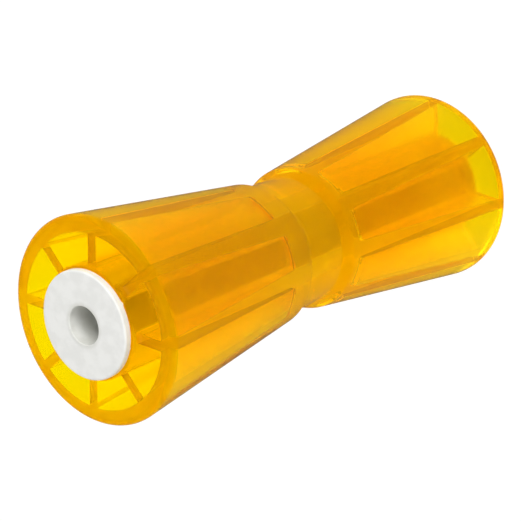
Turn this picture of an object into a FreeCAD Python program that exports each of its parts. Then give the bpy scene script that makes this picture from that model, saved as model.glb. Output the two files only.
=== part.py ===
import FreeCAD, Part
import Sketcher
import math
import os

# Boat trailer roller: a moulded bow-tie body with ribbed, hollow ends and a flanged bush
# pressed into each end of its hub. It stands on one end.
# Lengths are in millimetres and angles in degrees. The roller's axis is Z, and the origin
# is the centre of the lower bush's flat face.

SIZES = (
    # Body, outside
    ("body_length", 228.6),
    ("end_diameter", 88.9),
    ("end_edge_chamfer", 2.0),
    ("shoulder_diameter", 64.1),
    ("shoulder_ease", 1.0),
    ("step_width", 4.1),
    ("neck_diameter", 57.8),
    ("neck_width", 21.0),
    # Body, hub
    ("hub_diameter", 48.2),
    ("hub_stand", 2.0),
    # Body, pockets and ribs
    ("rim_wall", 7.35),
    ("shoulder_wall", 5.1),
    ("pocket_depth", 91.0),
    ("rib_count", 8),
    ("rib_thickness", 4.4),
    ("pocket_corner_radius", 1.2),
    # Bushes
    ("flange_diameter", 46.0),
    ("flange_thickness", 3.0),
    ("flange_edge_chamfer", 0.7),
    ("sleeve_wall", 3.0),
    ("spindle_diameter", 15.88),
    # Fits
    ("spindle_clearance", 0.12),
    ("bush_clearance", 0.05),
    ("sleeve_gap", 4.0),
)

TOLERANCE = 1e-4
FULL_TURN = 360
CORE_OVERRUN = 6


def make_sheet(doc):
    sheet = doc.addObject("Spreadsheet::Sheet", "Sizes")
    for row, (alias, value) in enumerate(SIZES, start=1):
        sheet.set(f"A{row}", alias.replace("_", " "))
        sheet.set(f"B{row}", str(value))
        sheet.setAlias(f"B{row}", alias)
    return sheet


def origin_item(body, role):
    return next(item for item in body.Origin.OriginFeatures if item.Role == role)


def outline_sketch(body, plane, name, corners):
    """Closed outline of straight lines. Each corner is two expressions, for its X and Y
    in the sketch, and the solver carries it there from a place on a unit circle."""
    sketch = body.newObject("Sketcher::SketchObject", name)
    sketch.AttachmentSupport = (origin_item(body, plane), [""])
    sketch.MapMode = "FlatFace"
    count = len(corners)
    start_angles = [2 * math.pi * index / count for index in range(count)]
    starts = [FreeCAD.Vector(math.cos(angle), math.sin(angle), 0) for angle in start_angles]
    for index in range(count):
        line = Part.LineSegment(starts[index], starts[(index + 1) % count])
        sketch.addGeometry(line, False)
    for index in range(count):
        sketch.addConstraint(Sketcher.Constraint("Coincident", index, 2, (index + 1) % count, 1))
    for index, corner in enumerate(corners):
        for kind, expression in zip(("DistanceX", "DistanceY"), corner):
            constraint = sketch.addConstraint(Sketcher.Constraint(kind, -1, 1, index, 1, 1.0))
            sketch.setExpression(f"Constraints[{constraint}]", expression)
    return sketch


def revolve(body, name, sketch, angle=str(FULL_TURN)):
    feature = body.newObject("PartDesign::Revolution", name)
    feature.Profile = sketch
    feature.ReferenceAxis = (origin_item(body, "Z_Axis"), [""])
    feature.Midplane = True
    feature.setExpression("Angle", angle)
    return feature


def ring_edges(shape, radius, height):
    """Names of the shape's circular edges round Z with this radius at this height."""
    names = []
    for index, edge in enumerate(shape.Edges, start=1):
        if edge.Curve.TypeId != "Part::GeomCircle":
            continue
        off_radius = abs(edge.Curve.Radius - radius)
        off_height = abs(edge.Curve.Center.z - height)
        if off_radius < TOLERANCE and off_height < TOLERANCE:
            names.append(f"Edge{index}")
    return names


def upright_edges(shape, radius):
    """Names of the shape's straight edges along Z at this distance from the axis."""
    names = []
    for index, edge in enumerate(shape.Edges, start=1):
        offsets = [abs(math.hypot(vertex.X, vertex.Y) - radius) for vertex in edge.Vertexes]
        heights = [vertex.Z for vertex in edge.Vertexes]
        if max(offsets) < TOLERANCE and max(heights) - min(heights) > TOLERANCE:
            names.append(f"Edge{index}")
    return names


def dress(body, kind, name, base, edges, size_property, expression):
    """Fillet or chamfer on named edges of the base feature."""
    feature = body.newObject(f"PartDesign::{kind}", name)
    feature.Base = (base, edges)
    feature.setExpression(size_property, expression)
    body.Document.recompute()
    return feature


def pattern(body, kind, name, **settings):
    """Pattern or mirror of the body's whole shape so far."""
    feature = body.newObject(f"PartDesign::{kind}", name)
    feature.TransformMode = "Whole shape"
    for key, value in settings.items():
        setattr(feature, key, value)
    body.Tip = feature
    return feature


# Places along the axis, from the middle of the body
FACE = "Sizes.body_length / 2"
NECK_END = "Sizes.neck_width / 2"
SHOULDER = f"({NECK_END} + Sizes.step_width)"
CONE_LENGTH = f"({FACE} - {SHOULDER})"

# Radii from the spindle outwards
BORE = "(Sizes.spindle_diameter / 2 + Sizes.spindle_clearance)"
SLEEVE = f"({BORE} + Sizes.sleeve_wall)"
HUB_BORE = f"({SLEEVE} + Sizes.bush_clearance)"


def make_blank(doc, size):
    """Solid outside form with the hub's bore, the upper half mirrored to the lower."""
    body = doc.addObject("PartDesign::Body", "body_blank")
    shoulder_radius = "Sizes.shoulder_diameter / 2"
    step_slope = f"({shoulder_radius} - Sizes.neck_diameter / 2) / Sizes.step_width"
    cone_slope = f"(Sizes.end_diameter / 2 - {shoulder_radius}) / {CONE_LENGTH}"
    corners = (
        (HUB_BORE, "0"),
        ("Sizes.neck_diameter / 2", "0"),
        ("Sizes.neck_diameter / 2", NECK_END),
        (f"{shoulder_radius} - Sizes.shoulder_ease * {step_slope}", f"{SHOULDER} - Sizes.shoulder_ease"),
        (f"{shoulder_radius} + Sizes.shoulder_ease * {cone_slope}", f"{SHOULDER} + Sizes.shoulder_ease"),
        ("Sizes.end_diameter / 2", FACE),
        ("Sizes.hub_diameter / 2", FACE),
        ("Sizes.hub_diameter / 2", f"{FACE} + Sizes.hub_stand"),
        (HUB_BORE, f"{FACE} + Sizes.hub_stand"),
    )
    sketch = outline_sketch(body, "XZ_Plane", "outside_section", corners)
    half = revolve(body, "outside_form", sketch)
    doc.recompute()
    edges = ring_edges(half.Shape, size["end_diameter"] / 2, size["body_length"] / 2)
    dress(body, "Chamfer", "end_edge", half, edges, "Size", "Sizes.end_edge_chamfer")
    pattern(body, "Mirrored", "lower_half", MirrorPlane=(origin_item(body, "XY_Plane"), [""]))
    return body


def make_pocket_cores(doc, size):
    """Steel cores that form the pockets. One core fills the sector between two ribs, and
    its sides are parallel to them, so that each rib keeps one thickness from hub to rim."""
    body = doc.addObject("PartDesign::Body", "pocket_cores")
    body.AllowCompound = True
    mouth_radius = "(Sizes.end_diameter / 2 - Sizes.rim_wall)"
    shoulder_radius = "(Sizes.shoulder_diameter / 2 - Sizes.shoulder_wall)"
    outer_slope = f"({mouth_radius} - {shoulder_radius}) / {CONE_LENGTH}"
    hub_radius = "Sizes.hub_diameter / 2"
    root = f"({FACE} - Sizes.pocket_depth)"
    corners = (
        (hub_radius, root),
        (f"{mouth_radius} - Sizes.pocket_depth * {outer_slope}", root),
        (mouth_radius, FACE),
        (mouth_radius, f"{FACE} + {CORE_OVERRUN}"),
        (hub_radius, f"{FACE} + {CORE_OVERRUN}"),
    )
    section = outline_sketch(body, "XZ_Plane", "core_section", corners)
    sector = revolve(body, "core_sector", section, f"{FULL_TURN} / Sizes.rib_count")
    doc.recompute()

    # Half of each rib is taken off the sector's two sides
    half_sector = f"({FULL_TURN} / 2 / Sizes.rib_count * 1 deg)"
    reach = "Sizes.end_diameter"
    inner = "-Sizes.rib_thickness / 2"
    outer = "Sizes.rib_thickness"
    rib_corners = []
    for along, across in (("0", inner), (reach, inner), (reach, outer), ("0", outer)):
        x_place = f"{along} * cos{half_sector} - ({across}) * sin{half_sector}"
        y_place = f"{along} * sin{half_sector} + ({across}) * cos{half_sector}"
        rib_corners.append((x_place, y_place))
    rib_sketch = outline_sketch(body, "XY_Plane", "rib_side", rib_corners)
    trim = body.newObject("PartDesign::Pocket", "rib_trim")
    trim.Profile = rib_sketch
    trim.Midplane = True
    trim.setExpression("Length", "2 * Sizes.body_length")
    doc.recompute()
    other_trim = body.newObject("PartDesign::Mirrored", "other_rib_trim")
    other_trim.Originals = [trim]
    other_trim.MirrorPlane = (origin_item(body, "XZ_Plane"), [""])
    body.Tip = other_trim
    doc.recompute()
    if not other_trim.Shape.Volume < trim.Shape.Volume < sector.Shape.Volume:
        raise RuntimeError("a rib side took nothing off its core")

    edges = upright_edges(other_trim.Shape, size["hub_diameter"] / 2)
    dress(body, "Fillet", "hub_corners", other_trim, edges, "Radius", "Sizes.pocket_corner_radius")
    ring = pattern(body, "PolarPattern", "cores_round", Axis=(origin_item(body, "Z_Axis"), [""]))
    ring.setExpression("Occurrences", "Sizes.rib_count")
    pattern(body, "Mirrored", "cores_below", MirrorPlane=(origin_item(body, "XY_Plane"), [""]))
    return body


def make_roller_body(doc, size):
    blank = make_blank(doc, size)
    cores = make_pocket_cores(doc, size)
    moulding = doc.addObject("Part::Cut", "roller_body")
    moulding.Base = blank
    moulding.Tool = cores
    moulding.Label = "roller_body"
    moulding.setExpression("Placement.Base.z", f"{FACE} + Sizes.hub_stand + Sizes.flange_thickness")
    return moulding


def make_bush(doc, size, label):
    """Flanged bush. Its outer face is at zero and its sleeve points up."""
    body = doc.addObject("PartDesign::Body", label)
    body.Label = label
    tip = f"Sizes.flange_thickness + Sizes.hub_stand + {FACE} - Sizes.sleeve_gap / 2"
    corners = (
        (BORE, "0"),
        ("Sizes.flange_diameter / 2", "0"),
        ("Sizes.flange_diameter / 2", "Sizes.flange_thickness"),
        (SLEEVE, "Sizes.flange_thickness"),
        (SLEEVE, tip),
        (BORE, tip),
    )
    sketch = outline_sketch(body, "XZ_Plane", f"{label}_section", corners)
    form = revolve(body, f"{label}_form", sketch)
    doc.recompute()
    edges = ring_edges(form.Shape, size["flange_diameter"] / 2, 0)
    dress(body, "Chamfer", f"{label}_flange_edge", form, edges, "Size", "Sizes.flange_edge_chamfer")
    return body


def make_bushes(doc, size):
    lower = make_bush(doc, size, "lower_bush")
    upper = make_bush(doc, size, "upper_bush")
    upside_down = FreeCAD.Rotation(FreeCAD.Vector(1, 0, 0), FULL_TURN / 2)
    upper.Placement = FreeCAD.Placement(FreeCAD.Vector(), upside_down)
    upper.setExpression("Placement.Base.z", "Sizes.body_length + 2 * (Sizes.hub_stand + Sizes.flange_thickness)")
    return [lower, upper]


def check_document(doc, nodes):
    for item in doc.Objects:
        if "Invalid" in item.State or "Error" in item.State:
            raise RuntimeError(f"{item.Name} did not compute: {item.State}")
    for node in nodes:
        if node.Shape.isNull() or not node.Shape.isValid():
            raise RuntimeError(f"{node.Label} has no valid shape")
        if len(node.Shape.Solids) != 1:
            raise RuntimeError(f"{node.Label} is not one solid")


def main():
    os.makedirs("parts", exist_ok=True)
    doc = FreeCAD.newDocument("boat_trailer_roller")
    make_sheet(doc)
    doc.recompute()
    size = dict(SIZES)
    nodes = [make_roller_body(doc, size)] + make_bushes(doc, size)
    doc.recompute()
    check_document(doc, nodes)
    for node in nodes:
        node.Shape.exportStep(f"parts/{node.Label}.step")
        print(f"{node.Label}: {node.Shape.Volume / 1000:.2f} cm3, {len(node.Shape.Faces)} faces")


main()
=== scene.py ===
import math

import bpy
from mathutils import Matrix, Vector
from mathutils.geometry import tessellate_polygon


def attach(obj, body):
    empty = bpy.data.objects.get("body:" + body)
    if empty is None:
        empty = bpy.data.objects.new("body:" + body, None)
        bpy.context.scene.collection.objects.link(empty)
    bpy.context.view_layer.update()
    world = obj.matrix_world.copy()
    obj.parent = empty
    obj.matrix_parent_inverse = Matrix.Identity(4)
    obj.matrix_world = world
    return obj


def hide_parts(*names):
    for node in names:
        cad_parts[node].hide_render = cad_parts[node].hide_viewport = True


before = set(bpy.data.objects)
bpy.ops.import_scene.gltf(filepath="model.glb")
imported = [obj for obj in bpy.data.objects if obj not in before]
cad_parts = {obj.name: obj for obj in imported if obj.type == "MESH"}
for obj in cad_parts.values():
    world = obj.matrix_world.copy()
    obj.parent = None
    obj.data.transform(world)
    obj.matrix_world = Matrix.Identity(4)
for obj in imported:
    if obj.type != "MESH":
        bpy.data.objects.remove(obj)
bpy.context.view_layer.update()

# Boat trailer roller: a translucent amber moulding with ribbed, hollow ends, and a white
# flanged bush in each end of its hub. The pieces' sizes are in millimetres. Their meshes
# are made in millimetres and placed in the frame in metres. Angles that are set here are
# in degrees, and those worked out from them are in radians.

MM = 0.001

# Body, outside
BODY_LENGTH = 228.6
END_DIAMETER = 88.9
END_EDGE_RADIUS = 2.6
SHOULDER_DIAMETER = 64.1
SHOULDER_EDGE_RADIUS = 3.3
STEP_WIDTH = 4.1
NECK_DIAMETER = 57.8
NECK_WIDTH = 21.0
NECK_CORNER_RADIUS = 1.5

# Body, hub
HUB_DIAMETER = 48.2
HUB_STAND = 2.0
HUB_EDGE_RADIUS = 0.8

# Body, pockets and ribs
RIM_WALL = 7.35
SHOULDER_WALL = 5.1
POCKET_DEPTH = 91.0
RIB_COUNT = 8
RIB_THICKNESS = 4.4
RIB_THICKNESS_AT_FLOOR = 7.4
HUB_CORNER_RADIUS = 0.8
RIM_CORNER_RADIUS = 0.3
POCKET_FLOOR_RADIUS = 2.5
POCKET_LIP_RADIUS = 0.25

# Bushes
FLANGE_DIAMETER = 46.0
FLANGE_THICKNESS = 3.0
FLANGE_EDGE_RADIUS = 0.9
FLANGE_BACK_RADIUS = 0.2
BORE_DIAMETER = 16.12
BORE_EDGE_RADIUS = 0.5
SLEEVE_WALL = 3.0
SLEEVE_LEAD = 0.5
SLEEVE_GAP = 4.0
BUSH_CLEARANCE = 0.05
SEAT_GAP = 0.03

# Flash on the upper flange's edge: angle in the frame, how far it stands out, half its
# angle. The band is how far in from the edge it starts.
FLASH = ((14.0, 0.7, 2.6), (327.0, 0.35, 1.6))
FLASH_BAND = 1.2

# Fineness of the meshes. The slope span is the depth over which a wall's slope is measured.
BODY_SEGMENTS = 256
BUSH_SEGMENTS = 240
HUB_ARC_STEPS = 12
ROOT_ARC_STEPS = 4
RIM_ARC_STEPS = 16
CORNER_STEPS = 6
ROUND_STEPS = 6
WALL_STEPS = 6
SLOPE_SPAN = 1.0
WELD = 1e-4
SMALLEST_AREA = 1e-7

# Places worked out from the sizes
HALF_LENGTH = BODY_LENGTH / 2
HUB_TOP = HALF_LENGTH + HUB_STAND
OVERALL_HALF = HUB_TOP + FLANGE_THICKNESS
NECK_END = NECK_WIDTH / 2
SHOULDER = NECK_END + STEP_WIDTH
HUB_RADIUS = HUB_DIAMETER / 2
FLANGE_RADIUS = FLANGE_DIAMETER / 2
BORE_RADIUS = BORE_DIAMETER / 2
SLEEVE_RADIUS = BORE_RADIUS + SLEEVE_WALL
HUB_BORE_RADIUS = SLEEVE_RADIUS + BUSH_CLEARANCE
MOUTH_RADIUS = END_DIAMETER / 2 - RIM_WALL
WALL_SLOPE = (MOUTH_RADIUS - (SHOULDER_DIAMETER / 2 - SHOULDER_WALL)) / (HALF_LENGTH - SHOULDER)
FULL_TURN = 2 * math.pi
QUARTER_TURN = math.pi / 2
PITCH = FULL_TURN / RIB_COUNT
UP = Vector((0, 0, 1))


def polar(angle, radius=1.0):
    return Vector((math.cos(angle) * radius, math.sin(angle) * radius))


def angle_of(place):
    return math.atan2(place.y, place.x)


def mirrored(place):
    """The place on the other side of the X axis."""
    return Vector((place.x, -place.y))


def swept(start, end, steps):
    """Evenly spaced values from start to end, with both ends."""
    return [start + (end - start) * step / steps for step in range(steps + 1)]


def even_ring(count):
    return [FULL_TURN * index / count for index in range(count)]


def new_object(name, data):
    made = bpy.data.objects.new(name, data)
    bpy.context.scene.collection.objects.link(made)
    return made


class Surface:
    """Collects faces that share their points, where each corner has a normal of its own.
    While core is 1, faces are marked as shaped by a core of the mould."""

    def __init__(self):
        self.points = []
        self.numbers = {}
        self.faces = []
        self.normals = []
        self.cored = []
        self.core = 0.0

    def number(self, point):
        """Number of a point, where points closer than the weld are one."""
        key = tuple(round(value / WELD) for value in point)
        if key not in self.numbers:
            self.numbers[key] = len(self.points)
            self.points.append(Vector(point))
        return self.numbers[key]

    def face(self, corners):
        """Add one face from pairs of point and normal, wound to look along the normals."""
        outline = []
        for point, normal in corners:
            number = self.number(point)
            if number not in [known for known, _ in outline]:
                outline.append((number, normal))
        if len(outline) < 3:
            return
        first = self.points[outline[0][0]]
        area = Vector()
        for (one, _), (two, _) in zip(outline[1:], outline[2:]):
            area += (self.points[one] - first).cross(self.points[two] - first)
        if area.length < SMALLEST_AREA:
            return
        facing = sum((normal for _, normal in outline), Vector())
        if area.dot(facing) < 0:
            outline.reverse()
        self.faces.append([number for number, _ in outline])
        self.cored.append(self.core)
        self.normals.extend(normal.normalized() for _, normal in outline)

    def make(self, name, place):
        """Turn the faces into an object, with the points moved by place and put in metres."""
        mesh = bpy.data.meshes.new(name)
        mesh.from_pydata([(place @ point) * MM for point in self.points], [], self.faces)
        turn = place.to_3x3()
        mesh.shade_smooth()
        mesh.normals_split_custom_set([turn @ normal for normal in self.normals])
        cored = mesh.attributes.new("cored", "FLOAT", "FACE")
        cored.data.foreach_set("value", self.cored)
        return new_object(name, mesh)


def rounded_profile(corners):
    """Stations (place, normal) along an outline in the half plane of r and z. A corner is
    (r, z, radius), and the outline runs with the material on its left."""
    places = [Vector((r, z)) for r, z, _ in corners]
    stations = []
    for index, (_, _, radius) in enumerate(corners):
        here = places[index]
        into = (here - places[index - 1]).normalized() if index else None
        out = (places[index + 1] - here).normalized() if index + 1 < len(corners) else None
        if into is None or out is None:
            only = out or into
            stations.append((here, Vector((only.y, -only.x))))
            continue
        before = Vector((into.y, -into.x))
        after = Vector((out.y, -out.x))
        if radius == 0:
            stations += [(here, before), (here, after)]
            continue
        turn = into.angle_signed(out)
        reach = radius * math.tan(abs(turn) / 2)
        side = -math.copysign(1, turn)
        centre = here - into * reach - before * side * radius
        for step in range(ROUND_STEPS + 1):
            swing = Matrix.Rotation(-turn * step / ROUND_STEPS, 2)
            normal = swing @ before
            stations.append((centre + normal * side * radius, normal))
    return stations


def no_swell(angle, place):
    return 0.0


def turn_profile(surface, stations, angles, swell=no_swell):
    """Revolve stations round Z, over a closed ring of angles. Swell gives how far a
    place stands out at an angle."""
    for (low, low_normal), (high, high_normal) in zip(stations, stations[1:]):
        for index, angle in enumerate(angles):
            after = angles[(index + 1) % len(angles)]
            corners = []
            for turn, place, normal in (
                (angle, low, low_normal), (after, low, low_normal),
                (after, high, high_normal), (angle, high, high_normal),
            ):
                ray = polar(turn).to_3d()
                reach = place.x + swell(turn, place)
                corners.append((ray * reach + UP * place.y, ray * normal.x + UP * normal.y))
            surface.face(corners)


def rib_axes():
    """Direction of the rib on the upper side of the pocket about +X, and the one square to
    it that leads out of the pocket."""
    rib = polar(PITCH / 2)
    return rib, Vector((-rib.y, rib.x))


def corner_centre(radius, corner, thickness):
    """Centre of the round between that rib's side and a circle round Z, which lies at a
    radius from Z."""
    across = thickness / 2 + corner
    reach = math.sqrt(radius ** 2 - across ** 2)
    rib, side = rib_axes()
    return rib * reach - side * across


def hub_corner(thickness):
    return corner_centre(HUB_RADIUS + HUB_CORNER_RADIUS, HUB_CORNER_RADIUS, thickness)


HUB_ARC_HALF = angle_of(hub_corner(RIB_THICKNESS))


def corner_arc(centre, radius, start, end, end_lip):
    """Stations (place, normal into the pocket, lip) round a corner, from a lip of 1."""
    arc = []
    lips = swept(1.0, end_lip, CORNER_STEPS)
    for angle, lip in zip(swept(start, end, CORNER_STEPS), lips):
        ray = polar(angle)
        arc.append((centre + ray * radius, -ray, lip))
    return arc


def pocket_outline(depth):
    """Outline of a pocket about +X at one depth: (place, normal into the pocket, lip). The
    first run goes from the hub along the lower rib, over the rim and back to the hub, and
    the second one along the hub. Lip is 1 where the mouth has a rounded edge and 0 on
    the hub."""
    rim_radius = MOUTH_RADIUS - WALL_SLOPE * depth
    thickness = RIB_THICKNESS + (RIB_THICKNESS_AT_FLOOR - RIB_THICKNESS) * depth / POCKET_DEPTH
    side_angle = angle_of(rib_axes()[1])
    rim_centre = corner_centre(rim_radius - RIM_CORNER_RADIUS, RIM_CORNER_RADIUS, thickness)
    rim_half = angle_of(rim_centre)
    hub_centre = hub_corner(thickness)
    hub_half = angle_of(hub_centre)
    upper = corner_arc(rim_centre, RIM_CORNER_RADIUS, rim_half, side_angle, 1.0)
    upper += corner_arc(hub_centre, HUB_CORNER_RADIUS, side_angle, hub_half + math.pi, 0.0)
    lower = [(mirrored(place), mirrored(normal), lip) for place, normal, lip in reversed(upper)]
    rim = []
    for angle in swept(-rim_half, rim_half, RIM_ARC_STEPS)[1:-1]:
        rim.append((polar(angle, rim_radius), -polar(angle), 1.0))
    hub = []
    for angle in swept(hub_half, -hub_half, HUB_ARC_STEPS)[1:-1]:
        hub.append((polar(angle, HUB_RADIUS), polar(angle), 0.0))
    return lower + rim + upper, hub


def pocket_ring(depth):
    mouth, hub = pocket_outline(depth)
    return mouth + hub


def lip_rings():
    """Rings of (point, normal) over the rounded edge of the mouth."""
    mouth = pocket_ring(0)
    rings = []
    for angle in swept(0, QUARTER_TURN, ROUND_STEPS):
        ring = []
        back = POCKET_LIP_RADIUS * (1 - math.sin(angle))
        drop = POCKET_LIP_RADIUS * (1 - math.cos(angle))
        for place, normal, lip in mouth:
            spot = place - normal * back * lip
            lean = math.cos(angle) * lip
            flat = math.sqrt(1 - lean ** 2)
            ring.append((
                Vector((spot.x, spot.y, HALF_LENGTH - drop)),
                Vector((normal.x * flat, normal.y * flat, lean)),
            ))
        rings.append(ring)
    return rings


def wall_rings(wall_end):
    """Rings of (point, normal) down the tapering walls."""
    rings = []
    for depth in swept(POCKET_LIP_RADIUS, wall_end, WALL_STEPS):
        ring = []
        deeper_ring = pocket_ring(depth + SLOPE_SPAN)
        for (place, normal, _), (deeper, _, _) in zip(pocket_ring(depth), deeper_ring):
            lean = normal.dot(deeper - place) / SLOPE_SPAN
            ring.append((
                Vector((place.x, place.y, HALF_LENGTH - depth)),
                Vector((normal.x, normal.y, lean)).normalized(),
            ))
        rings.append(ring)
    return rings


def foot_rings(wall_end):
    """Rings of (point, normal) over the round between the walls and the floor."""
    foot = pocket_ring(wall_end)
    rings = []
    for angle in swept(0, QUARTER_TURN, ROUND_STEPS):
        ring = []
        reach = POCKET_FLOOR_RADIUS * (1 - math.cos(angle))
        drop = POCKET_FLOOR_RADIUS * math.sin(angle)
        for place, normal, _ in foot:
            spot = place + normal * reach
            ring.append((
                Vector((spot.x, spot.y, HALF_LENGTH - wall_end - drop)),
                Vector((normal.x * math.cos(angle), normal.y * math.cos(angle), math.sin(angle))),
            ))
        rings.append(ring)
    return rings


def pocket_rings():
    """Rings from the mouth of a pocket about +X to its floor, with the mouth at the height
    of HALF_LENGTH."""
    wall_end = POCKET_DEPTH - POCKET_FLOOR_RADIUS
    return lip_rings() + wall_rings(wall_end) + foot_rings(wall_end)


def add_pocket(surface, rings, spin, flip):
    """Walls and floor of one pocket, spun round Z and, where flip is -1, mirrored to the
    lower end."""

    def placed(vector):
        turned = spin @ vector
        return Vector((turned.x, turned.y, turned.z * flip))

    rings = [[(placed(point), placed(normal)) for point, normal in ring] for ring in rings]
    for outer, inner in zip(rings, rings[1:]):
        count = len(outer)
        for index in range(count):
            after = (index + 1) % count
            surface.face([outer[index], outer[after], inner[after], inner[index]])
    floor = rings[-1]
    normal = UP * flip
    for triangle in tessellate_polygon([[point for point, _ in floor]]):
        surface.face([(floor[corner][0], normal) for corner in triangle])


def add_end_face(surface, rim_radius, mouth, flip):
    """Flat of the rim, the ribs and the hub's root, round the mouths of the pockets. It
    looks up where flip is 1 and down where it is -1."""
    outer = [polar(angle, rim_radius).to_3d() for angle in even_ring(BODY_SEGMENTS)]
    inner = []
    root_end = PITCH - HUB_ARC_HALF
    for pocket in range(RIB_COUNT):
        spin = Matrix.Rotation(PITCH * pocket, 3, "Z")
        for point, _ in mouth:
            spot = spin @ point
            inner.append(Vector((spot.x, spot.y, 0)))
        for angle in swept(HUB_ARC_HALF, root_end, ROOT_ARC_STEPS)[1:-1]:
            inner.append(polar(angle + PITCH * pocket, HUB_RADIUS).to_3d())
    loop = outer + inner
    height = UP * HALF_LENGTH * flip
    normal = UP * flip
    for triangle in tessellate_polygon([outer, inner]):
        surface.face([(loop[corner] + height, normal) for corner in triangle])


def hub_angles():
    """Angles round the hub that meet the points of the pockets and of the ribs' roots."""
    pocket_arc = swept(-HUB_ARC_HALF, HUB_ARC_HALF, HUB_ARC_STEPS)[:-1]
    root_arc = swept(HUB_ARC_HALF, PITCH - HUB_ARC_HALF, ROOT_ARC_STEPS)[:-1]
    return [PITCH * pocket + angle for pocket in range(RIB_COUNT) for angle in pocket_arc + root_arc]


def make_body():
    surface = Surface()
    end_radius = END_DIAMETER / 2
    shoulder_radius = SHOULDER_DIAMETER / 2
    neck_radius = NECK_DIAMETER / 2
    # The end corners only lead to the rounded edges, so their own stations go
    outside = rounded_profile([
        (HUB_RADIUS, -HALF_LENGTH, 0),
        (end_radius, -HALF_LENGTH, END_EDGE_RADIUS),
        (shoulder_radius, -SHOULDER, SHOULDER_EDGE_RADIUS),
        (neck_radius, -NECK_END, NECK_CORNER_RADIUS),
        (neck_radius, NECK_END, NECK_CORNER_RADIUS),
        (shoulder_radius, SHOULDER, SHOULDER_EDGE_RADIUS),
        (end_radius, HALF_LENGTH, END_EDGE_RADIUS),
        (HUB_RADIUS, HALF_LENGTH, 0),
    ])[1:-1]
    turn_profile(surface, outside, even_ring(BODY_SEGMENTS))
    hub = rounded_profile([
        (HUB_RADIUS, HALF_LENGTH, 0),
        (HUB_RADIUS, HUB_TOP, HUB_EDGE_RADIUS),
        (HUB_BORE_RADIUS, HUB_TOP, 0),
        (HUB_BORE_RADIUS, -HUB_TOP, 0),
        (HUB_RADIUS, -HUB_TOP, HUB_EDGE_RADIUS),
        (HUB_RADIUS, -HALF_LENGTH, 0),
    ])
    turn_profile(surface, hub, hub_angles())
    rim_radius = outside[0][0].x
    rings = pocket_rings()
    # The part of the mouth that meets the end face, without its side along the hub
    mouth = rings[0][:len(pocket_outline(0)[0])]
    for flip in (1, -1):
        surface.core = 0.0
        add_end_face(surface, rim_radius, mouth, flip)
        surface.core = 1.0
        for pocket in range(RIB_COUNT):
            add_pocket(surface, rings, Matrix.Rotation(PITCH * pocket, 3, "Z"), flip)
    piece = surface.make("roller_moulding", Matrix.Translation(UP * OVERALL_HALF))
    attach(piece, "root")
    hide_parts("roller_body")
    return piece


def degrees_apart(one, two):
    return abs((one - two + 180) % 360 - 180)


def flash(angle, place):
    """How far the flange's edge stands out, low on the side that meets the hub. The bush
    is placed upside down, so its angles run the other way."""
    if place.x < FLANGE_RADIUS - FLASH_BAND or place.y < FLANGE_THICKNESS - FLASH_BAND:
        return 0.0
    out = 0.0
    for centre, height, half in FLASH:
        out += height * max(0.0, 1 - degrees_apart(math.degrees(-angle), centre) / half)
    return out


def make_bush(name, node, place, swell=no_swell):
    """Flanged bush whose outer face lies at z = 0 and whose sleeve points up. Its outline
    starts and ends halfway along the bore."""
    surface = Surface()
    back = FLANGE_THICKNESS - SEAT_GAP
    tip = OVERALL_HALF - SLEEVE_GAP / 2
    outline = rounded_profile([
        (BORE_RADIUS, tip / 2, 0),
        (BORE_RADIUS, 0, BORE_EDGE_RADIUS),
        (FLANGE_RADIUS, 0, FLANGE_EDGE_RADIUS),
        (FLANGE_RADIUS, back, FLANGE_BACK_RADIUS),
        (SLEEVE_RADIUS, back, 0),
        (SLEEVE_RADIUS, tip - SLEEVE_LEAD, 0),
        (SLEEVE_RADIUS - SLEEVE_LEAD, tip, 0),
        (BORE_RADIUS, tip, 0),
        (BORE_RADIUS, tip / 2, 0),
    ])
    turn_profile(surface, outline, even_ring(BUSH_SEGMENTS), swell)
    piece = surface.make(name, place)
    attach(piece, "root")
    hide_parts(node)
    return piece


def make_bushes():
    top = Matrix.Translation(UP * 2 * OVERALL_HALF) @ Matrix.Rotation(math.pi, 4, "X")
    return [
        make_bush("lower_flanged_bush", "lower_bush", Matrix.Identity(4)),
        make_bush("upper_flanged_bush", "upper_bush", top, flash),
    ]


def new_material(name):
    material = bpy.data.materials.new(name)
    material.use_nodes = True
    material.node_tree.nodes.clear()
    return material, material.node_tree


def add_node(tree, kind, inputs, **settings):
    """Add a node with its settings. Inputs gives a value, or the socket that feeds it, for
    each input by its name or number."""
    made = tree.nodes.new(kind)
    for name, value in settings.items():
        setattr(made, name, value)
    for name, given in inputs.items():
        if isinstance(given, bpy.types.NodeSocket):
            tree.links.new(given, made.inputs[name])
        else:
            made.inputs[name].default_value = given
    return made


def faded(tree, value, span, low, high):
    """A strength that goes from low to high while the value goes over a span."""
    start, end = span
    inputs = {"Value": value, "From Min": start, "From Max": end, "To Min": low, "To Max": high}
    fade = add_node(tree, "ShaderNodeMapRange", inputs, interpolation_type="SMOOTHSTEP")
    return fade.outputs["Result"]


def worked(tree, operation, one, two=0.0):
    return add_node(tree, "ShaderNodeMath", {0: one, 1: two}, operation=operation).outputs["Value"]


def times(tree, one, two):
    return worked(tree, "MULTIPLY", one, two)


def mixed(tree, factor, first, second, kind="FLOAT"):
    """The first value or colour where the factor is 0, and the second one where it is 1."""
    mix = add_node(tree, "ShaderNodeMix", {"Factor": factor, "A": first, "B": second}, data_type=kind)
    return mix.outputs["Result"]


def added(tree, one, two):
    """Two shaders at once, on a surface or in a volume."""
    return add_node(tree, "ShaderNodeAddShader", {0: one, 1: two}).outputs["Shader"]


def along(tree, vector, direction):
    """How far a vector reaches in a direction."""
    inputs = {0: vector, 1: direction}
    return add_node(tree, "ShaderNodeVectorMath", inputs, operation="DOT_PRODUCT").outputs["Value"]


def part_place(tree):
    return add_node(tree, "ShaderNodeTexCoord", {}).outputs["Object"]


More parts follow.
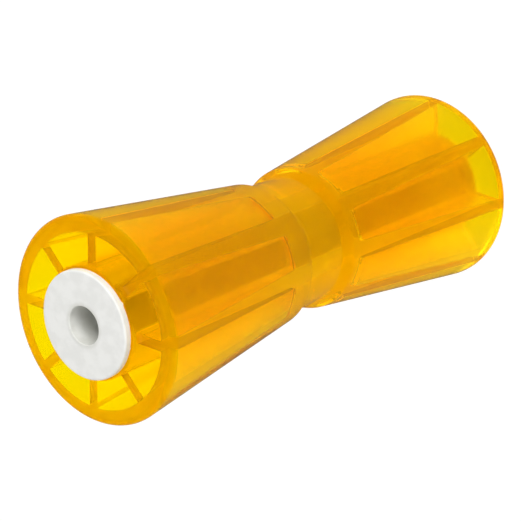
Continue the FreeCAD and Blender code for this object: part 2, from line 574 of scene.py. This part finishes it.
def from_axis(tree):
    """Distance of a place on the part from the roller's axis, in metres."""
    inputs = {0: part_place(tree), 1: (1, 1, 0)}
    level = add_node(tree, "ShaderNodeVectorMath", inputs, operation="MULTIPLY").outputs["Vector"]
    return add_node(tree, "ShaderNodeVectorMath", {0: level}, operation="LENGTH").outputs["Value"]


def noise(tree, scale, detail, stretch=(1, 1, 1)):
    """Noise over the part, with its grain per metre and how much finer it is along each axis."""
    mapping = add_node(tree, "ShaderNodeMapping", {"Vector": part_place(tree), "Scale": stretch})
    inputs = {"Vector": mapping.outputs["Vector"], "Scale": scale, "Detail": detail}
    return add_node(tree, "ShaderNodeTexNoise", inputs).outputs[0]


def bumped(tree, height, distance, normal=None, strength=1.0):
    """A normal leaned by a height that reaches the distance, in metres."""
    inputs = {"Height": height, "Distance": distance, "Strength": strength}
    if normal is not None:
        inputs["Normal"] = normal
    return add_node(tree, "ShaderNodeBump", inputs).outputs["Normal"]


# Amber plastic. Grains are per metre, heights in metres, and spans are parts of the noise
# over which an effect comes in.
AMBER_TINT = (1.0, 0.84, 0.01, 1.0)
AMBER_TINT_DEEP = (1.0, 0.82, 0.0, 1.0)
AMBER_GLOSS = (1.0, 0.5, 0.0, 1.0)
AMBER_IOR = 1.38
AMBER_DYE = (0.994, 0.983, 0.0, 1.0)
AMBER_DENSITY = 600.0
CLOUD_COLOUR = (1.0, 1.0, 1.0, 1.0)
CLOUD_DENSITY = 40.0
CLOUD_FORWARD = 0.6
OUTER_ROUGHNESS = 0.03
OUTER_ROUGHNESS_DULL = 0.045
POCKET_ROUGHNESS = 0.25
POCKET_ROUGHNESS_DULL = 0.257
MOTTLE_GRAIN = 40.0
MOTTLE_DETAIL = 3.0
TINT_SPAN = (0.35, 0.65)
DULL_SPAN = (0.4, 0.7)
SCUFF_ROUGHNESS = 0.03
SCUFF_GRAIN = 260.0
SCUFF_DETAIL = 2.0
SCUFF_STRETCH = (1.0, 1.0, 0.06)
SCUFF_SPAN = (0.6, 0.75)
RIPPLE_GRAIN = 70.0
RIPPLE_DETAIL = 1.0
RIPPLE_STRETCH = (1.0, 1.0, 0.35)
RIPPLE_HEIGHT = 0.00002
SKIN_GRAIN = 700.0
SKIN_DETAIL = 2.0
SKIN_HEIGHT = 0.000002
CORED_SPAN = (0.0, 1.0)


def amber_roughness(tree, mottle, cored):
    """Glossy and faintly scuffed outside, and frosted where a core of the mould was."""
    outer = faded(tree, mottle, DULL_SPAN, OUTER_ROUGHNESS, OUTER_ROUGHNESS_DULL)
    pocket = faded(tree, mottle, DULL_SPAN, POCKET_ROUGHNESS, POCKET_ROUGHNESS_DULL)
    scuffs = noise(tree, SCUFF_GRAIN, SCUFF_DETAIL, SCUFF_STRETCH)
    scuffed = faded(tree, scuffs, SCUFF_SPAN, 0.0, SCUFF_ROUGHNESS)
    return faded(tree, cored, CORED_SPAN, worked(tree, "ADD", outer, scuffed), pocket)


def amber_relief(tree, cored):
    """Long ripples and a fine skin on the outside."""
    outside = faded(tree, cored, CORED_SPAN, 1.0, 0.0)
    ripple = noise(tree, RIPPLE_GRAIN, RIPPLE_DETAIL, RIPPLE_STRETCH)
    ripples = bumped(tree, ripple, RIPPLE_HEIGHT, strength=outside)
    skin = noise(tree, SKIN_GRAIN, SKIN_DETAIL)
    return bumped(tree, skin, SKIN_HEIGHT, ripples, outside)


def amber_inside(tree):
    """The dye and the faint cloud in the plastic."""
    dye = add_node(tree, "ShaderNodeVolumeAbsorption", {"Color": AMBER_DYE, "Density": AMBER_DENSITY})
    cloud = add_node(tree, "ShaderNodeVolumeScatter", {
        "Color": CLOUD_COLOUR,
        "Density": CLOUD_DENSITY,
        "Anisotropy": CLOUD_FORWARD,
    })
    return added(tree, dye.outputs["Volume"], cloud.outputs["Volume"])


def amber_material():
    material, tree = new_material("amber_plastic")
    mottle = noise(tree, MOTTLE_GRAIN, MOTTLE_DETAIL)
    deep = faded(tree, mottle, TINT_SPAN, 0.0, 1.0)
    cored = add_node(tree, "ShaderNodeAttribute", {}, attribute_name="cored").outputs["Fac"]
    shader = add_node(tree, "ShaderNodeBsdfPrincipled", {
        "Base Color": mixed(tree, deep, AMBER_TINT, AMBER_TINT_DEEP, "RGBA"),
        "Specular Tint": AMBER_GLOSS,
        "Transmission Weight": 1.0,
        "IOR": AMBER_IOR,
        "Roughness": amber_roughness(tree, mottle, cored),
        "Normal": amber_relief(tree, cored),
    })
    add_node(tree, "ShaderNodeOutputMaterial", {
        "Surface": shader.outputs["BSDF"],
        "Volume": amber_inside(tree),
    })
    return material


# White plastic. Distances from the axis, and all other lengths here, are in metres.
WHITE = (0.87, 0.87, 0.84, 1.0)
WHITE_DULL = (0.81, 0.81, 0.78, 1.0)
# Grey painted shade in the bore and round its edge
WHITE_BORE_SHADE = (0.7, 0.7, 0.65, 1.0)
# Grey painted shade on the outside of each sleeve within the hub
WHITE_SLEEVE_SHADE = (0.65, 0.65, 0.6, 1.0)
WHITE_ROUGHNESS = 0.4
WHITE_ROUGHNESS_DULL = 0.55
WHITE_ROUGHNESS_SPAN = (0.3, 0.7)
WHITE_MOTTLE_GRAIN = 160.0
WHITE_MOTTLE_DETAIL = 4.0
WHITE_DULL_SPAN = (0.4, 0.65)
WHITE_WAVE_GRAIN = 110.0
WHITE_WAVE_DETAIL = 1.0
WHITE_WAVE_HEIGHT = 0.00005
WHITE_SKIN_GRAIN = 900.0
WHITE_SKIN_DETAIL = 3.0
WHITE_SKIN_HEIGHT = 0.00002
# Reach from the axis, noise span and least strength of the painted shade in the bore
BORE_SHADE_REACH = (0.0082, 0.0105)
BORE_SHADE_SPAN = (0.3, 0.6)
BORE_SHADE_LEAST = 0.5
# Reach from the axis and blend at the hub's end of the painted shade on the sleeves
SLEEVE_SHADE_REACH = (0.0095, 0.01)
SLEEVE_SHADE_BLEND = 0.0005


def painted_bore_shade(tree, mottle, radius):
    """How much painted shade greys the white, which is most in the bore and uneven."""
    near_bore = faded(tree, radius, BORE_SHADE_REACH, 1.0, 0.0)
    return times(tree, near_bore, faded(tree, mottle, BORE_SHADE_SPAN, BORE_SHADE_LEAST, 1.0))


def painted_sleeve_shade(tree, radius):
    """1 on the outside of a sleeve within the hub, where it shows through the amber and is greyed as
    painted shade.
    """
    height = worked(tree, "SUBTRACT", along(tree, part_place(tree), UP), OVERALL_HALF * MM)
    hub_top = HUB_TOP * MM
    in_hub = faded(tree, worked(tree, "ABSOLUTE", height), (hub_top - SLEEVE_SHADE_BLEND, hub_top), 1.0, 0.0)
    return times(tree, in_hub, faded(tree, radius, SLEEVE_SHADE_REACH, 0.0, 1.0))


def white_material():
    material, tree = new_material("white_plastic")
    mottle = noise(tree, WHITE_MOTTLE_GRAIN, WHITE_MOTTLE_DETAIL)
    radius = from_axis(tree)
    dull = faded(tree, mottle, WHITE_DULL_SPAN, 0.0, 1.0)
    colour = mixed(tree, dull, WHITE, WHITE_DULL, "RGBA")
    # Painted shade: the white is greyed in and round the bore, made uneven by the mottle
    colour = mixed(tree, painted_bore_shade(tree, mottle, radius), colour, WHITE_BORE_SHADE, "RGBA")
    # Painted shade: the sleeve's outside within the hub is greyed
    colour = mixed(tree, painted_sleeve_shade(tree, radius), colour, WHITE_SLEEVE_SHADE, "RGBA")
    rough = faded(tree, mottle, WHITE_ROUGHNESS_SPAN, WHITE_ROUGHNESS, WHITE_ROUGHNESS_DULL)
    waves = bumped(tree, noise(tree, WHITE_WAVE_GRAIN, WHITE_WAVE_DETAIL), WHITE_WAVE_HEIGHT)
    skin = noise(tree, WHITE_SKIN_GRAIN, WHITE_SKIN_DETAIL)
    relief = bumped(tree, skin, WHITE_SKIN_HEIGHT, waves)
    inputs = {"Base Color": colour, "Roughness": rough, "Normal": relief}
    shader = add_node(tree, "ShaderNodeBsdfPrincipled", inputs)
    add_node(tree, "ShaderNodeOutputMaterial", {"Surface": shader.outputs["BSDF"]})
    return material


# Camera, from a pinhole fit to the photograph's outlines. Places and directions are in the
# camera's axes, which point right, down and forward, and places are in millimetres. The
# axis runs from the near end to the far one.
FOCAL_PIXELS = 2096.683
IMAGE_PIXELS = 521
SENSOR_WIDTH = 36.0
NEAR_FACE_PLACE = Vector((-67.00, 24.59, 835.70))
AXIS_IN_VIEW = Vector((0.64382717, -0.26525081, 0.71772458))
ACROSS_IN_VIEW = Vector((0.74438901, 0.0, -0.66774621))
RIB_ANGLE_IN_VIEW = 30.4


def view_to_part():
    """Turns directions in the camera's axes into directions in the part's frame."""
    other = ACROSS_IN_VIEW.cross(AXIS_IN_VIEW)
    spin = math.radians(RIB_ANGLE_IN_VIEW) - PITCH / 2
    x_axis = ACROSS_IN_VIEW * math.cos(spin) + other * math.sin(spin)
    y_axis = other * math.cos(spin) - ACROSS_IN_VIEW * math.sin(spin)
    return Matrix((x_axis, y_axis, -AXIS_IN_VIEW))


TO_PART = view_to_part()


def make_camera():
    near_face = Vector((0, 0, OVERALL_HALF + HALF_LENGTH))
    place = (near_face - TO_PART @ NEAR_FACE_PLACE) * MM
    flip = Matrix.Diagonal((1, -1, -1))
    camera_data = bpy.data.cameras.new("camera")
    camera_data.sensor_width = SENSOR_WIDTH
    camera_data.lens = FOCAL_PIXELS * SENSOR_WIDTH / IMAGE_PIXELS
    camera = new_object("camera", camera_data)
    camera.matrix_world = Matrix.Translation(place) @ (TO_PART @ flip).to_4x4()
    bpy.context.scene.camera = camera


# Level direction from the camera toward the roller, in the frame
BACKWARD = (TO_PART @ Vector((0, 0, 1)) * Vector((1, 1, 0))).normalized()

# Direction of the photograph's lower edge, where its white table lies, in the frame
TABLEWARD = TO_PART @ Vector((0, 1, 0))

# Share of the light behind that shows through one wall. It grows to the whole over a
# span of the surfaces that a ray has passed, which are two for each wall.
ONE_WALL_SHARE = 0.49
SURFACE_COUNT_SPAN = (2.5, 5.5)


def by_ray(tree, lighting, camera, through, reflected):
    """A strength for each kind of ray. A refracted ray counts as glossy and as transmitted."""
    path = add_node(tree, "ShaderNodeLightPath", {})
    strength = mixed(tree, path.outputs["Is Glossy Ray"], lighting, reflected)
    strength = mixed(tree, path.outputs["Is Transmission Ray"], strength, through)
    return mixed(tree, path.outputs["Is Camera Ray"], strength, camera)


def wall_share(tree):
    """Share of the light behind, by how often a ray has entered or left the plastic."""
    path = add_node(tree, "ShaderNodeLightPath", {})
    return faded(tree, path.outputs["Transmission Depth"], SURFACE_COUNT_SPAN, ONE_WALL_SHARE, 1.0)


# Floor. Its size and the depths over which its glow changes are in metres.
FLOOR_SIZE = 6.0
FLOOR_COLOUR = (0.12, 0.12, 0.12, 1.0)
FLOOR_GLOW = 0.94
FLOOR_GLOW_BEHIND = 1.65
FLOOR_GLOW_BEFORE = 0.1
FLOOR_GLOW_MIRRORED = 0.0
FLOOR_GLOW_SPAN = (-0.12, 0.0)


def floor_material():
    material, tree = new_material("floor_paper")
    paper = add_node(tree, "ShaderNodeBsdfDiffuse", {"Color": FLOOR_COLOUR})
    place = add_node(tree, "ShaderNodeNewGeometry", {})
    depth = along(tree, place.outputs["Position"], BACKWARD)
    inside = faded(tree, depth, FLOOR_GLOW_SPAN, FLOOR_GLOW_BEFORE, FLOOR_GLOW_BEHIND)
    through = times(tree, inside, wall_share(tree))
    strength = by_ray(tree, inside, FLOOR_GLOW, through, FLOOR_GLOW_MIRRORED)
    glow = add_node(tree, "ShaderNodeEmission", {"Strength": strength})
    both = added(tree, paper.outputs["BSDF"], glow.outputs["Emission"])
    add_node(tree, "ShaderNodeOutputMaterial", {"Surface": both})
    return material


def make_floor():
    mesh = bpy.data.meshes.new("floor")
    half = FLOOR_SIZE / 2
    corners = [(-half, -half, 0), (half, -half, 0), (half, half, 0), (-half, half, 0)]
    mesh.from_pydata(corners, [], [(0, 1, 2, 3)])
    mesh.materials.append(floor_material())
    floor = new_object("floor", mesh)


# World. Spans are over the height, the depth and the reach toward the table of a ray's
# direction, which has a length of 1.
WORLD_COLOUR = (1.0, 1.0, 1.0, 1.0)
WORLD_LIGHT = 0.75
WORLD_SEEN = 1.0
HORIZON_THROUGH = 1.85
OVERHEAD_THROUGH = 1.55
OVERHEAD_SPAN = (0.0, 0.35)
FRONT_THROUGH = 0.1
FRONT_SPAN = (-0.6, 0.3)
TABLE_THROUGH = 2.4
TABLE_SPAN = (0.0, 0.7)
HORIZON_REFLECTION = 0.2
OVERHEAD_REFLECTION = 0.03


def make_world():
    world = bpy.data.worlds.new("studio")
    world.use_nodes = True
    bpy.context.scene.world = world
    tree = world.node_tree
    tree.nodes.clear()
    direction = add_node(tree, "ShaderNodeTexCoord", {}).outputs["Generated"]
    height = along(tree, direction, UP)
    depth = along(tree, direction, BACKWARD)
    down = along(tree, direction, TABLEWARD)
    over = faded(tree, height, OVERHEAD_SPAN, HORIZON_THROUGH, OVERHEAD_THROUGH)
    front = faded(tree, depth, FRONT_SPAN, FRONT_THROUGH, 1.0)
    table = faded(tree, down, TABLE_SPAN, 1.0, TABLE_THROUGH)
    through = times(tree, times(tree, over, front), table)
    reflected = faded(tree, height, OVERHEAD_SPAN, HORIZON_REFLECTION, OVERHEAD_REFLECTION)
    strength = by_ray(tree, WORLD_LIGHT, WORLD_SEEN, through, reflected)
    light = add_node(tree, "ShaderNodeBackground", {"Color": WORLD_COLOUR, "Strength": strength})
    add_node(tree, "ShaderNodeOutputWorld", {"Surface": light.outputs["Background"]})


# Key lamp above the camera. Its place is in the camera's axes, in metres from the roller.
KEY_PLACE = Vector((0.1, -0.6, -1.2))
KEY_SIZE = 0.7
KEY_POWER = 11.0


def make_key_lamp():
    data = bpy.data.lights.new("key_lamp", "AREA")
    data.shape = "DISK"
    data.size = KEY_SIZE
    data.energy = KEY_POWER
    lamp = new_object("key_lamp", data)
    offset = TO_PART @ KEY_PLACE
    middle = UP * OVERALL_HALF * MM
    aim = (-offset).to_track_quat("-Z", "Y")
    lamp.matrix_world = Matrix.Translation(middle + offset) @ aim.to_matrix().to_4x4()
    lamp.visible_glossy = False


# Enough for light to pass many walls of the moulding
LIGHT_BOUNCES = 48


def set_light_paths():
    cycles = bpy.context.scene.cycles
    cycles.max_bounces = LIGHT_BOUNCES
    cycles.transmission_bounces = LIGHT_BOUNCES
    cycles.glossy_bounces = LIGHT_BOUNCES
    cycles.volume_bounces = LIGHT_BOUNCES
    cycles.blur_glossy = 0.0


def main():
    make_body().data.materials.append(amber_material())
    white = white_material()
    for bush in make_bushes():
        bush.data.materials.append(white)
    make_camera()
    make_floor()
    make_world()
    make_key_lamp()
    set_light_paths()
    bpy.context.scene.view_settings.view_transform = "Standard"


main()
